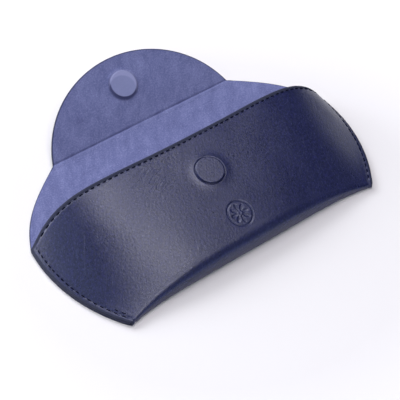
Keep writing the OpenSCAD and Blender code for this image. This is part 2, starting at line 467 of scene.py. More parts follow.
def lines(*groups, least=0.02):
    """Sorted grid lines from several groups, without near doubles."""
    values = np.sort(np.concatenate([np.asarray(g, float) for g in groups]))
    kept = [values[0]]
    for value in values[1:]:
        if value - kept[-1] > least:
            kept.append(value)
    kept[-1] = values[-1]
    return np.array(kept)


# Distances of the grid lines from a free edge and from the rim of a disc, closest where it is steepest.
RIM_LINES = [0, 0.05, 0.13, 0.24, 0.38, 0.55, 0.8, 1.1, 1.45, 1.7, 1.95, 2.2, 2.45, 2.7, 3.0, 3.5, 4.2]
RING_LINES = [
    -5, -3, -1.4, -0.75, -0.5, -0.38, -0.26, -0.14, -0.05, 0,
    0.05, 0.12, 0.26, 0.42, 0.6, 0.8, 1.02, 1.4, 2.0, 2.8, 3.8,
]
# Grid lines that come nearer than this to the line before them are left out.
LEAST_GAP = 0.04


def circle_warp(a, b):
    """Moves the square grid rings of the front disc onto circles, and fades out a little way round it."""
    full, fade = 1.2, 4.3
    m = np.maximum(np.abs(a), np.abs(b))
    r = np.maximum(np.hypot(a, b), 1e-9)
    share = 1 - smooth((m - FRONT_DISC_RADIUS - full) / fade)
    scale = mix(1, m / r, share)
    return a * scale, b * scale


# -------------------------------- the pouch's leather and lining

def pouch_columns(fine):
    """Grid lines across the pouch as u, from end to end."""
    pitch = STITCH_PITCH / 4 if fine else STITCH_PITCH / 2
    even = np.arange(0, MOUTH_HALF - RIM_LINES[-1], pitch)
    near_end = MOUTH_HALF - np.array(RIM_LINES)
    groups = [even, near_end]
    if fine:
        groups.append(np.array(RING_LINES) + FRONT_DISC_RADIUS)
        groups.append(np.arange(0, ORNAMENT_RADIUS + ORNAMENT_MARGIN, ORNAMENT_GRID))
        groups[0] = even[even > DISC_REACH]
    half = lines(*groups, least=LEAST_GAP)
    return np.concatenate([-half[::-1], half[1:]]) / MOUTH_HALF


def front_rows(fine):
    """Grid lines down the front as distances from the bottom fold, from the mouth to the ridge."""
    pitch = STITCH_PITCH / 4 if fine else STITCH_PITCH / 2
    low = FOLD_INSET + 1.8
    even = np.arange(low, HEIGHT - RIM_LINES[-1], pitch)
    groups = [even, HEIGHT - np.array(RIM_LINES), [low]]
    if fine:
        rings = np.array(RING_LINES) + FRONT_DISC_RADIUS
        groups[0] = even[np.abs(even - FRONT_DISC) > DISC_REACH]
        groups.append(FRONT_DISC + rings)
        groups.append(FRONT_DISC - rings)
        groups.append([FRONT_DISC])
        start = ORNAMENT_L - ORNAMENT_RADIUS - ORNAMENT_MARGIN
        stop = ORNAMENT_L + ORNAMENT_RADIUS + ORNAMENT_MARGIN
        groups.append(np.arange(start, stop, ORNAMENT_GRID))
    rows = lines(*groups, least=LEAST_GAP)
    return rows[rows <= HEIGHT][::-1]


def pouch_grid(fine):
    """u and v of every grid point of the pouch, rings round the disc included."""
    u = pouch_columns(fine)
    t = (front_rows(fine) - FOLD_INSET) / (HEIGHT - FOLD_INSET)
    v_front = (1 - t) / (1 - ridge_t(np.zeros(1))[0])
    crowded = 0.985
    v_front = np.append(v_front[v_front < crowded], V_RIDGE)
    wrap_steps = 9 if fine else 7
    v_wrap = np.concatenate([
        V_RIDGE + np.linspace(0, 1, wrap_steps + 1)[1:],
        V_WALL + np.linspace(0, 1, 4)[1:],
        V_FOLD + np.linspace(0, 1, wrap_steps + 1)[1:],
    ])
    v_back = V_BACK + np.linspace(0, 1, 25)[1:]
    fold_start, fold_end = BACK_LENGTH - 5, BACK_LENGTH + 5
    far = lines(
        np.linspace(HEIGHT, fold_start, 4),
        np.linspace(fold_start, fold_end, 21),
        np.linspace(fold_end, SPLIT, 11),
    )[1:]
    v_far = V_CORNER + (far - HEIGHT) / (SPLIT - HEIGHT)
    v = np.concatenate([v_front, v_wrap, v_back, v_far])
    grid_v, grid_u = np.meshgrid(v, u, indexing="ij")
    if fine:
        on_front = grid_v <= V_RIDGE
        t = 1 - np.clip(grid_v, 0, 1) * (1 - ridge_t(grid_u))
        flat = front_point(grid_u, t)
        a, b = circle_warp(flat[..., 0], flat[..., 1] - FRONT_DISC)
        warped_u, warped_t = front_ut(a, b + FRONT_DISC)
        moved = on_front & (np.hypot(a, b) < 2.2 * DISC_REACH)
        grid_u = np.where(moved, warped_u, grid_u)
        grid_v = np.where(moved, (1 - warped_t) / (1 - ridge_t(grid_u)), grid_v)
    return grid_u, grid_v


def pouch_measures(u, v):
    """Point on the outer face, its l, and its distances from the sewn ends and from the mouth."""
    p = pouch_point(u, v)
    t = 1 - np.clip(v, 0, 1) * (1 - ridge_t(u))
    far_l = mix(HEIGHT, SPLIT, np.clip(v - V_CORNER, 0, 1))
    back_y = fold_y(u) + bottom_round(u)
    l = np.where(v > V_CORNER, far_l, mix(back_y, HEIGHT, np.clip(v - V_BACK, 0, 1)))
    around = np.where(v < V_RIDGE, -p[..., 1] - ridge_height(u), -p[..., 2])
    l = np.where(v < V_BACK, around, l)
    end = np.where(v < V_BACK, seam_x(p[..., 1]), half_width(np.maximum(l, 0)))
    ends = end * (1 - np.abs(u))
    mouth = np.where(v < V_RIDGE, (1 - t) * HEIGHT, HEIGHT)
    return p, l, ends, mouth


SEAM_RIM = 0.35
MOUTH_RIM = 0.6
# The dark band at the mouth is this many times as wide as the one along the seams: burnished edge colour at
# the edge, and painted shade over the border beyond it up to the stitches.
MOUTH_BURNISH_AND_SHADE = 2.0


def pouch_leather_sheet():
    u, v = pouch_grid(fine=True)
    p, out = pouch_surface(u, v)
    flat, l, ends, mouth = pouch_measures(u, v)
    on_front = v <= V_RIDGE
    sewn = (v < V_CORNER) | (l < HEIGHT)
    along = np.where(v < V_BACK, flat[..., 1], l)
    relief = np.where(sewn, sewn_relief(ends, along, HEIGHT / 2), 0)
    relief = relief * smooth((HEIGHT - 1 - along) / 2)
    rim_drop = round_off(ends, SEAM_RIM)
    mouth_centre = 0.0
    relief += np.where(on_front, sewn_relief(mouth, flat[..., 0], mouth_centre) * smooth((ends - 1) / 2), 0)
    rim_drop = np.maximum(rim_drop, np.where(on_front, round_off(mouth, MOUTH_RIM), 0))
    r = np.hypot(flat[..., 0], flat[..., 1] - FRONT_DISC)
    relief += np.where(on_front, front_disc_relief(flat[..., 0], flat[..., 1] - FRONT_DISC), 0)
    relief += np.where(v < V_WALL, ornament_relief(flat[..., 0], flat[..., 1] - ORNAMENT_L), 0)
    loose = smooth((ends - 3) / 12) * np.where(v < V_FOLD, 1, 0) * smooth((r - DISC_REACH) / 8)
    relief += loose * (0.16 * undulation(p, 20, 1) + 0.03 * undulation(p, 7, 2))
    pocket = magnet_pocket(r, 1.5) * on_front
    # The back lies on the table, so nothing stands out from it.
    relief = np.where(v > V_FOLD, np.minimum(relief, 0), relief)
    face = p + out * (relief - rim_drop)[..., None]
    back = p - out * (LEATHER - pocket)[..., None]
    pattern = np.stack([flat[..., 0], l, np.zeros_like(l)], -1)
    # Halving the mouth's distance spreads the dark edge colour over the border up to the stitches as
    # painted shade.
    rim = np.minimum(ends, mouth / MOUTH_BURNISH_AND_SHADE)
    return Piece(face, back, grid_quads(*u.shape), pattern, rim)


def pouch_lining_sheet():
    u, v = pouch_grid(fine=False)
    p, out = pouch_surface(u, v)
    flat, l, ends, mouth = pouch_measures(u, v)
    rim_drop = np.maximum(round_off(ends, 0.25), np.where(v <= V_RIDGE, round_off(mouth, 0.25), 0))
    sway = 0.05 * undulation(p, 9, 3) * smooth((ends - 3) / 5)
    depth = SHEET - 0.03 - rim_drop + sway
    face = p - out * depth[..., None]
    back = p - out * LEATHER
    pattern = np.stack([flat[..., 0], l, np.zeros_like(l)], -1)
    return Piece(face, back, grid_quads(*u.shape), pattern, np.minimum(ends, mouth))


# -------------------------------- the cover's leather and lining

FAN_START = CREASE + 2.6


def flap_arc(count):
    """Points along the flap's rounded edge, from one end of the line at FAN_START to the other."""
    start = math.asin((FAN_START - FLAP_CENTRE) / FLAP_RADIUS_Y)
    angles = np.linspace(start, math.pi - start, count)
    return np.stack([
        FLAP_RADIUS_X * np.cos(angles), FLAP_CENTRE + FLAP_RADIUS_Y * np.sin(angles)
    ], -1)


def cover_plan():
    """Flat points and faces of the cover: rows over the crease, then rings round the disc."""
    centre = np.array([0, CREASE + FLAP_DISC])
    half = half_width(np.array([FAN_START]))[0]
    inner = np.arange(0, half - RIM_LINES[12], 1.3)
    side = lines(inner, half - np.array(RIM_LINES[:13]), least=LEAST_GAP)
    columns = np.concatenate([-side[::-1], side[1:]]) / half
    rows = lines(
        np.linspace(SPLIT, CREASE - 1.5, 4),
        np.linspace(CREASE - 1.5, CREASE + 1.5, 17),
        np.linspace(CREASE + 1.5, FAN_START, 4),
    )
    grid_l, grid_u = np.meshgrid(rows, columns, indexing="ij")
    strip = np.stack([grid_u * half_width(grid_l), grid_l], -1).reshape(-1, 2)
    quads = grid_quads(*grid_l.shape).tolist()
    first = (len(rows) - 1) * len(columns)
    base = strip[first:]
    arc = flap_arc(171)[1:-1]
    border = np.concatenate([base, arc])
    spokes = border - centre
    reach = np.linalg.norm(spokes, axis=1)
    toward = spokes / reach[:, None]
    ring_radii = np.concatenate([[1.5, 3], np.array(RING_LINES[2:]) + DISC_RADIUS])
    widest_circle = 11.5
    ring_radii = ring_radii[ring_radii < widest_circle]
    shares = np.linspace(0, 1, 18)[1:-1]
    rim_band = 1.9
    rim_steps = [rim_band] + RIM_LINES[8:0:-1]
    rings = [centre + toward * r for r in ring_radii]
    rings += [centre + toward * mix(ring_radii[-1], reach - rim_band, s)[:, None] for s in shares]
    rings += [centre + toward * (reach - step)[:, None] for step in rim_steps]
    count = len(border)
    offset = len(strip)
    points = np.concatenate([strip, *rings, arc, centre[None]])
    arc_start = offset + len(rings) * count
    outer = list(range(first, offset)) + list(range(arc_start, arc_start + len(arc)))
    index = [[offset + n * count + k for k in range(count)] for n in range(len(rings))] + [outer]
    middle = len(points) - 1
    for k in range(count):
        following = (k + 1) % count
        quads.append([middle, index[0][following], index[0][k], middle])
        for n in range(len(index) - 1):
            quads.append([index[n][k], index[n][following], index[n + 1][following], index[n + 1][k]])
    return points, quads


def outline_points():
    """Closely spaced points along the free edge of the cover."""
    l = np.linspace(SPLIT - 6, FAN_START, 120)
    half = half_width(l)
    return np.concatenate([np.stack([half, l], -1), flap_arc(1600), np.stack([-half, l], -1)[::-1]])


def rim_distance(points):
    """Distance of flat points from the cover's free edge."""
    outline = outline_points()
    nearest = np.full(len(points), 1e9)
    for start, end in zip(outline[:-1], outline[1:]):
        along = end - start
        share = np.clip(((points - start) @ along) / max(along @ along, 1e-12), 0, 1)
        gap = points - start - share[:, None] * along
        nearest = np.minimum(nearest, np.einsum("ij,ij->i", gap, gap))
    return np.sqrt(nearest)


def cover_sheets():
    flat, quads = cover_plan()
    x, l = flat[:, 0], flat[:, 1]
    rim = rim_distance(flat)
    r = np.hypot(x, l - CREASE - FLAP_DISC)
    face, up = course(x, l, np.zeros_like(x))
    inner, _ = course(x, l, np.full_like(x, LINING))
    outer, _ = course(x, l, np.full_like(x, SHEET))
    pattern = np.stack([x, l, np.zeros_like(x)], -1)
    score = ridge_line(l, CREASE, 0.5)
    roll = ridge_line(l, CREASE - 1.2, 0.7)
    soft = smooth((rim - 1) / 8) * smooth((r - 9) / 6) * smooth((l - CREASE - 2) / 8)
    sway = undulation(face, 22, 4) * soft
    lining_relief = soft_disc_relief(r) - 0.3 * score + 0.12 * roll + 0.12 * sway
    pocket = magnet_pocket(r, 1.35)
    lining = Piece(
        face + up * (lining_relief - round_off(rim, 0.3))[:, None],
        inner + up * pocket[:, None],
        np.array(quads), pattern, rim,
    )
    leather_relief = 0.18 * ridge_line(l, CREASE, 0.9) - 0.12 * sway + round_off(rim, SEAM_RIM)
    leather = Piece(outer + up * leather_relief[:, None], inner, np.array(quads), pattern, rim)
    return leather, lining


# -------------------------------- stitches

THREAD = 0.7
PLY_RADIUS = THREAD * 0.27
TURNS = 1.4
STITCH_RINGS = 13
STITCH_SIDES = 7
STITCH_SPAN = np.linspace(-0.5, 0.5, STITCH_RINGS) * STITCH_LENGTH
# How much the plies' turn differs from one stitch to the next, in radians.
STITCH_PHASE = 1.9
# Depths of the stitches' lines in the front, in the back and in the lining, under the pouch's outer face.
FRONT_SINK = 0.25
BACK_SINK = 0.42
LINING_SINK = SHEET - 0.08
# The lock stitches: number, pitches from the seam's middle down to the first, shift back up, and inset.
LOCK_COUNT = 2
LOCK_PLACE = 8
LOCK_SHIFT = 0.3
LOCK_INSET = 1.6


def directions(centres):
    tangents = np.gradient(centres, axis=0)
    return tangents / np.linalg.norm(tangents, axis=1, keepdims=True)


def ply(centres, radii, points, faces):
    """Adds one tapered tube along its centres."""
    tangents = directions(centres)
    side = np.cross(tangents, np.array([0.13, 0.21, 0.97]))
    side /= np.linalg.norm(side, axis=1, keepdims=True)
    other = np.cross(tangents, side)
    angles = np.arange(STITCH_SIDES) * 2 * np.pi / STITCH_SIDES
    first = len(points)
    for centre, radius, s, o in zip(centres, radii, side, other):
        for angle in angles:
            points.append(centre + radius * (math.cos(angle) * s + math.sin(angle) * o))
    for ring in range(len(centres) - 1):
        for k in range(STITCH_SIDES):
            a = first + ring * STITCH_SIDES + k
            b = first + ring * STITCH_SIDES + (k + 1) % STITCH_SIDES
            faces.append((a, b, b + STITCH_SIDES, a + STITCH_SIDES))
    end = first + (len(centres) - 1) * STITCH_SIDES
    faces.append(tuple(first + k for k in range(STITCH_SIDES))[::-1])
    faces.append(tuple(end + k for k in range(STITCH_SIDES)))


def stitch(surface, out, points, faces, phase):
    """Adds one two-ply stitch over surface points, its ends drawn down into the leather."""
    s = np.linspace(0, 1, STITCH_RINGS)
    height = 0.22 - 0.75 * np.abs(2 * s - 1) ** 5
    centres = surface + out * height[:, None]
    across = np.cross(directions(centres), out)
    radii = PLY_RADIUS * (1 - 0.35 * np.abs(2 * s - 1) ** 6)
    for half_turn in (0, math.pi):
        angle = 2 * math.pi * TURNS * s + half_turn + phase
        swing = out * np.cos(angle)[:, None] + across * np.sin(angle)[:, None]
        ply(centres + swing * PLY_RADIUS * 0.85, radii, points, faces)


def stitch_row(name, courses, material, node):
    """A row of stitches from lists of (u, v, depth, sign) arrays along each stitch."""
    points, faces = [], []
    for number, (u, v, depth, sign) in enumerate(courses):
        surface, out = pouch_surface(u, v)
        stitch(surface - out * depth, out * sign, points, faces, number * STITCH_PHASE)
    points = np.array(points)
    far_from_rim = 10.0
    rim = np.full(len(points), far_from_rim)
    piece = link_mesh(name, placed(points), faces, [material], [0] * len(faces), points, rim)
    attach(piece, "pouch")
    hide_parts(node)


def front_course(x, y):
    u, t = front_ut(x, y)
    return u, (1 - t) / (1 - ridge_t(u)), FRONT_SINK, 1


def back_course(x, y):
    """The same seam seen from below, on the flat back."""
    u = x / seam_x(y)
    back_y = fold_y(u) + bottom_round(u)
    return u, V_BACK + (y - back_y) / (HEIGHT - back_y), BACK_SINK, 1


def mouth_courses():
    """The stitches along the mouth, on the leather and again on the lining inside."""
    reach = MOUTH_HALF - 2 * STITCH_INSET
    count = int(2 * reach // STITCH_PITCH)
    t = 1 - STITCH_INSET / HEIGHT
    made = []
    for k in range(count):
        x = (k - (count - 1) / 2) * STITCH_PITCH
        u = (x + STITCH_SPAN) / MOUTH_HALF
        v = np.full_like(u, 1 - t) / (1 - ridge_t(u))
        made.append((u, v, FRONT_SINK, 1))
        made.append((u, v, LINING_SINK, -1))
    return made


def seam_courses(side):
    count = int((HEIGHT - 2 * STITCH_INSET) // STITCH_PITCH)
    made = []
    for k in range(count):
        middle = HEIGHT / 2 + (k - (count - 1) / 2) * STITCH_PITCH
        y = middle + STITCH_SPAN
        x = side * (seam_x(y) - STITCH_INSET)
        made.append(front_course(x, y))
        made.append(back_course(x, y))
    return made


def lock_courses(side):
    """The doubled stitches that lock the seam near the bottom fold, set a little further in."""
    made = []
    for k in range(LOCK_COUNT):
        middle = HEIGHT / 2 - (LOCK_PLACE - k) * STITCH_PITCH + STITCH_PITCH * LOCK_SHIFT
        y = middle + STITCH_SPAN
        made.append(front_course(side * (seam_x(y) - STITCH_INSET - LOCK_INSET), y))
    return made


# -------------------------------- materials

NAVY = (0.004, 0.008, 0.052)
DARK_NAVY = (0.002, 0.004, 0.028)
VIOLET_NAVY = (0.014, 0.016, 0.094)
WORN_NAVY = (0.055, 0.06, 0.14)
FLECK_NAVY = (0.036, 0.046, 0.14)
# Burnished edge colour, which at the mouth also paints the shade over the border.
EDGE_AND_SHADE_NAVY = (0.008, 0.011, 0.034)
PERIWINKLE = (0.19, 0.215, 0.42)
DEEP_PERIWINKLE = (0.138, 0.157, 0.335)
PALE_PERIWINKLE = (0.33, 0.36, 0.64)
PRESSED_PERIWINKLE = (0.28, 0.31, 0.53)
# Painted highlight colour for the far side of the flap's disc.
FAR_SIDE_HIGHLIGHT_PERIWINKLE = (0.36, 0.38, 0.62)
# Dark nap colour, also used for the painted shadow along the crease.
DARK_NAP_AND_SHADE_PERIWINKLE = (0.075, 0.085, 0.21)
# Painted shade colour for the near side of the flap's disc.
NEAR_SIDE_SHADE_PERIWINKLE = (0.045, 0.05, 0.13)
THREAD_DARK = (0.003, 0.004, 0.012)
THREAD_LIGHT = (0.009, 0.011, 0.03)
NICKEL_DARK = (0.62, 0.6, 0.56)
NICKEL_LIGHT = (0.75, 0.73, 0.7)
WHITE = (1.0, 1.0, 1.0, 1.0)
PAPER_WHITE = (0.83, 0.825, 0.83, 1)


class Shader:
    """A node material with short calls for the nodes that this scene uses."""

    def __init__(self, name):
        self.material = bpy.data.materials.new(name)
        self.material.use_nodes = True
        self.tree = self.material.node_tree
        self.tree.nodes.clear()
        self.surface = self.node("ShaderNodeBsdfPrincipled")
        output = self.node("ShaderNodeOutputMaterial")
        self.link(self.surface.outputs["BSDF"], output.inputs["Surface"])

    def node(self, kind, **settings):
        made = self.tree.nodes.new(kind)
        for key, value in settings.items():
            setattr(made, key, value)
        return made

    def link(self, source, target):
        self.tree.links.new(source, target)

    def feed(self, socket, value):
        if isinstance(value, bpy.types.NodeSocket):
            self.link(value, socket)
        else:
            socket.default_value = value

    def attribute(self, name):
        return self.node("ShaderNodeAttribute", attribute_name=name)

    def pattern(self, scale, turn=0.0):
        """Flattened-leather coordinates in millimetres, turned in degrees, then times scale."""
        mapping = self.node("ShaderNodeMapping", vector_type="TEXTURE")
        self.link(self.attribute("pattern").outputs["Vector"], mapping.inputs["Vector"])
        mapping.inputs["Scale"].default_value = [1 / s for s in scale]
        mapping.inputs["Rotation"].default_value = (0, 0, math.radians(turn))
        return mapping.outputs["Vector"]

    def noise(self, vector, detail=3.0, rough=0.5, distortion=0.0):
        made = self.node("ShaderNodeTexNoise")
        self.link(vector, made.inputs["Vector"])
        made.inputs["Scale"].default_value = 1.0
        made.inputs["Detail"].default_value = detail
        made.inputs["Roughness"].default_value = rough
        made.inputs["Distortion"].default_value = distortion
        return made.outputs["Fac"]

    def cells(self, vector):
        made = self.node("ShaderNodeTexVoronoi")
        self.link(vector, made.inputs["Vector"])
        made.inputs["Scale"].default_value = 1.0
        return made.outputs["Distance"]

    def remap(self, value, low, high, to_low=0.0, to_high=1.0):
        made = self.node("ShaderNodeMapRange")
        self.feed(made.inputs["Value"], value)
        made.inputs["From Min"].default_value = low
        made.inputs["From Max"].default_value = high
        made.inputs["To Min"].default_value = to_low
        made.inputs["To Max"].default_value = to_high
        return made.outputs["Result"]

    def math(self, operation, a, b):
        made = self.node("ShaderNodeMath", operation=operation)
        self.feed(made.inputs[0], a)
        self.feed(made.inputs[1], b)
        return made.outputs["Value"]

    def blend(self, share, a, b):
        made = self.node("ShaderNodeMix", data_type="RGBA")
        self.feed(made.inputs["Factor"], share)
        self.feed(made.inputs["A"], a if isinstance(a, bpy.types.NodeSocket) else (*a, 1))
        made.inputs["B"].default_value = (*b, 1)
        return made.outputs["Result"]

    def distance(self, point):
        """Millimetres from a point of the flattened leather."""
        made = self.node("ShaderNodeVectorMath", operation="DISTANCE")
        self.link(self.attribute("pattern").outputs["Vector"], made.inputs[0])
        made.inputs[1].default_value = point
        return made.outputs["Value"]

    def length_along(self):
        """Length from the bottom fold over the back, the strip and the flap."""
        made = self.node("ShaderNodeSeparateXYZ")
        self.link(self.attribute("pattern").outputs["Vector"], made.inputs["Vector"])
        return made.outputs["Y"]

    def bump(self, height, distance, strength=1.0, normal=None):
        made = self.node("ShaderNodeBump")
        self.link(height, made.inputs["Height"])
        made.inputs["Distance"].default_value = distance
        made.inputs["Strength"].default_value = strength
        if normal is not None:
            self.link(normal, made.inputs["Normal"])
        return made.outputs["Normal"]

    def finish(self, colour, rough, normal=None, **constants):
        self.feed(self.surface.inputs["Base Color"], colour)
        self.feed(self.surface.inputs["Roughness"], rough)
        if normal is not None:
            self.link(normal, self.surface.inputs["Normal"])
        for key, value in constants.items():
            self.surface.inputs[key.replace("_", " ").title().replace("Ior", "IOR")].default_value = value
        return self.material


# Degrees from the length of the case to the run of the marks, and where (x, l) the mouth is wrinkled.
STREAK_TURN = 115
SCUFF_TURN = 118
WRINKLE_TURN = -20
BRUSH_TURN = 60
WRINKLE_PLACE = (-27, -61, 0)


def leather_material():
    """Waxed dark blue leather: clouded and mottled dye, streaks along the hide, fine grain and creases."""
    s = Shader("waxed_leather")
    blotch = s.noise(s.pattern((0.035, 0.03, 0.03)), 4, 0.6, 0.4)
    mottle = s.noise(s.pattern((0.85, 0.7, 0.85)), 3, 0.7, 0.5)
    streak = s.noise(s.pattern((0.25, 0.9, 0.9), STREAK_TURN), 4, 0.7, 1.0)
    fine_streak = s.noise(s.pattern((1.0, 2.2, 2.2), STREAK_TURN), 3, 0.7, 0.5)
    fleck = s.noise(s.pattern((1.1, 1.7, 1.7), STREAK_TURN), 3, 0.75, 0.4)
    grain = s.cells(s.pattern((1.1, 0.9, 1.1)))
    pores = s.noise(s.pattern((5, 5, 5)), 2, 0.6)
    scuffs = s.remap(s.noise(s.pattern((0.05, 0.9, 1), SCUFF_TURN), 2, 0.5, 0.6), 0.66, 0.76)
    creases = s.remap(s.noise(s.pattern((0.1, 0.6, 1), STREAK_TURN), 3, 0.6, 1.2), 0.35, 0.65)
    wrinkles = s.remap(s.noise(s.pattern((0.12, 0.9, 1), WRINKLE_TURN), 2, 0.5, 0.8), 0.5, 0.62)
    wrinkles = s.math("MULTIPLY", wrinkles, s.remap(s.distance(WRINKLE_PLACE), 5, 14, 1, 0))
    rim = s.attribute("rim").outputs["Fac"]
    colour = s.blend(s.remap(blotch, 0.3, 0.7), DARK_NAVY, NAVY)
    colour = s.blend(s.remap(mottle, 0.42, 0.62, 0, 0.9), colour, VIOLET_NAVY)
    colour = s.blend(s.remap(streak, 0.44, 0.62, 0, 0.75), colour, DARK_NAVY)
    colour = s.blend(s.remap(streak, 0.54, 0.68, 0, 0.45), colour, FLECK_NAVY)
    colour = s.blend(s.remap(fleck, 0.54, 0.66, 0, 0.85), colour, FLECK_NAVY)
    colour = s.blend(s.math("MULTIPLY", scuffs, 0.25), colour, WORN_NAVY)
    # Burnished edge colour along the rim; at the mouth it spreads over the border as painted shade.
    colour = s.blend(s.remap(rim, 0.8, 1.1, 0.9, 0.0), colour, EDGE_AND_SHADE_NAVY)
    rough = s.remap(blotch, 0.3, 0.7, 0.31, 0.39)
    rough = s.math("ADD", rough, s.remap(fine_streak, 0.35, 0.65, -0.07, 0.1))
    rough = s.math("ADD", rough, s.math("MULTIPLY", scuffs, 0.08))
    rough = s.math("ADD", rough, s.remap(rim, 0.8, 1.15, 0.5, 0.0))
    normal = s.bump(mottle, 0.00007, 0.5)
    normal = s.bump(grain, 0.00006, 0.5, normal)
    normal = s.bump(pores, 0.00003, 0.5, normal)
    normal = s.bump(creases, 0.00004, 0.35, normal)
    normal = s.bump(wrinkles, 0.0001, 0.6, normal)
    return s.finish(colour, rough, normal, specular_ior_level=0.75, specular_tint=(0.86, 0.9, 1.0, 1.0))


def flesh_material():
    """The rough inner side of the leather, hidden under the lining."""
    s = Shader("leather_flesh_side")
    fibre = s.noise(s.pattern((1.5, 1.5, 1.5)), 4, 0.6)
    colour = s.blend(s.remap(fibre, 0.3, 0.7), DARK_NAVY, VIOLET_NAVY)
    return s.finish(colour, s.remap(fibre, 0.3, 0.7, 0.8, 0.95), s.bump(fibre, 0.00008))


def edge_material():
    """The cut edge, burnished dark."""
    s = Shader("burnished_edge")
    band = s.noise(s.pattern((0.35, 0.35, 2)), 3, 0.6)
    nick = s.noise(s.pattern((2.5, 2.5, 6)), 3, 0.6)
    colour = s.blend(s.remap(band, 0.3, 0.7), EDGE_AND_SHADE_NAVY, DARK_NAVY)
    rough = s.remap(nick, 0.3, 0.7, 0.55, 0.75)
    return s.finish(colour, rough, s.bump(nick, 0.00005, 0.6), specular_ior_level=0.35)


def suede_material():
    """Periwinkle suede: clouded, brushed and napped, pressed over the magnet, with painted shade and a
    painted highlight round the magnet's disc, painted shade before the crease and a painted shadow along
    it.
    """
    s = Shader("suede")
    cloud = s.noise(s.pattern((0.06, 0.045, 0.05)), 4, 0.6, 0.6)
    brushed = s.noise(s.pattern((0.1, 0.2, 0.2), BRUSH_TURN), 5, 0.7)
    nap = s.noise(s.pattern((1.3, 1.1, 1.3)), 4, 0.75)
    fibre = s.noise(s.pattern((7, 5, 7)), 3, 0.7)
    rim = s.attribute("rim").outputs["Fac"]
    # The disc's top is pressed smooth; painted shade darkens its near side and a painted highlight lightens
    # its far side.
    from_disc = s.distance((0, CREASE + FLAP_DISC, 0))
    pressed = s.remap(from_disc, DISC_RADIUS - 0.6, DISC_RADIUS - 0.1, 0.75, 0)
    from_near = s.distance((-0.3, CREASE + FLAP_DISC - 0.5, 0))
    near_side_shade = s.math("SUBTRACT", s.remap(from_near, DISC_RADIUS + 0.2, DISC_RADIUS + 1.2, 0.9, 0), pressed)
    # Centre of the painted highlight on the disc's far side.
    from_highlight_centre = s.distance((-1.5, CREASE + FLAP_DISC - 2.3, 0))
    far_side_highlight = s.math("MULTIPLY", s.remap(from_highlight_centre, DISC_RADIUS - 0.4, DISC_RADIUS + 0.2, 0, 1),
                    s.remap(from_disc, DISC_RADIUS - 0.2, DISC_RADIUS + 0.8, 0.55, 0))
    # Painted shade darkens the suede before the crease, so the strip, which the lamps light more than the
    # tilted flap, comes out as dark as the flap; a painted shadow line runs along the crease itself.
    strip_shade = s.remap(s.length_along(), CREASE - 4, CREASE + 3, 0.7, 0)
    from_crease = s.math("ABSOLUTE", s.math("SUBTRACT", s.length_along(), CREASE + 0.3), 0.0)
    crease_shadow = s.math("MULTIPLY", s.remap(from_crease, 0.2, 1.0, 0.7, 0), s.remap(cloud, 0.4, 0.6, 1, 0.2))
    colour = s.blend(s.remap(cloud, 0.32, 0.68), DEEP_PERIWINKLE, PERIWINKLE)
    # Painted shade over the strip before the crease.
    colour = s.blend(strip_shade, colour, DEEP_PERIWINKLE)
    colour = s.blend(s.remap(brushed, 0.5, 0.75, 0, 0.32), colour, PALE_PERIWINKLE)
    colour = s.blend(s.remap(brushed, 0.3, 0.5, 0.45, 0), colour, DARK_NAP_AND_SHADE_PERIWINKLE)
    colour = s.blend(s.remap(nap, 0.34, 0.52, 0.4, 0), colour, DARK_NAP_AND_SHADE_PERIWINKLE)
    colour = s.blend(s.remap(nap, 0.52, 0.68, 0, 0.4), colour, PALE_PERIWINKLE)
    # Painted shadow along the crease.
    colour = s.blend(crease_shadow, colour, DARK_NAP_AND_SHADE_PERIWINKLE)
    # Painted shade on the near side of the flap's disc.
    colour = s.blend(near_side_shade, colour, NEAR_SIDE_SHADE_PERIWINKLE)
    colour = s.blend(pressed, colour, PRESSED_PERIWINKLE)
    # Painted highlight on the far side of the flap's disc.
    colour = s.blend(far_side_highlight, colour, FAR_SIDE_HIGHLIGHT_PERIWINKLE)
    colour = s.blend(s.remap(rim, 0.25, 0.75, 0.85, 0.0), colour, EDGE_AND_SHADE_NAVY)
    rough = s.remap(nap, 0.3, 0.7, 0.85, 1.0)
    normal = s.bump(nap, 0.00012, 0.5)
    normal = s.bump(fibre, 0.00005, 0.5, normal)
    return s.finish(
        colour, rough, normal,
        specular_ior_level=0.2, sheen_weight=0.25, sheen_roughness=0.5, sheen_tint=(0.7, 0.75, 1.0, 1.0),
    )


def thread_material():
    s = Shader("waxed_thread")
    fibre = s.noise(s.pattern((4, 4, 4)), 3, 0.6)
    colour = s.blend(s.remap(fibre, 0.3, 0.7), THREAD_DARK, THREAD_LIGHT)
    rough = s.remap(fibre, 0.3, 0.7, 0.8, 1.0)
    return s.finish(colour, rough, s.bump(fibre, 0.00004), specular_ior_level=0.08)


def nickel_material():
    """Plating of the two magnets, which are hidden between the layers."""
    s = Shader("nickel_plating")
    coordinates = s.node("ShaderNodeTexCoord").outputs["Object"]
    mapping = s.node("ShaderNodeMapping")
    s.link(coordinates, mapping.inputs["Vector"])
    mapping.inputs["Scale"].default_value = (600, 600, 600)
    speckle = s.noise(mapping.outputs["Vector"], 4, 0.6)
    colour = s.blend(s.remap(speckle, 0.3, 0.7), NICKEL_DARK, NICKEL_LIGHT)
    rough = s.remap(speckle, 0.3, 0.7, 0.18, 0.32)
    return s.finish(colour, rough, s.bump(speckle, 0.00001, 0.3), metallic=1.0)


leather = leather_material()
flesh = flesh_material()
edge = edge_material()
suede = suede_material()
thread = thread_material()
nickel = nickel_material()


# -------------------------------- the case

def bend_over_fold(piece):
    """Bakes the sheet's placement into its mesh. Its shape turns between pouch and strip over a few
    millimetres at the back fold, but nothing lets it bend there.
    """
    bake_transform(piece)


def bend_over_crease(piece):
    """Bakes the sheet's placement into its mesh. Its shape turns between strip and cover at the crease, but
    nothing lets it bend there.
    """
    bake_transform(piece)


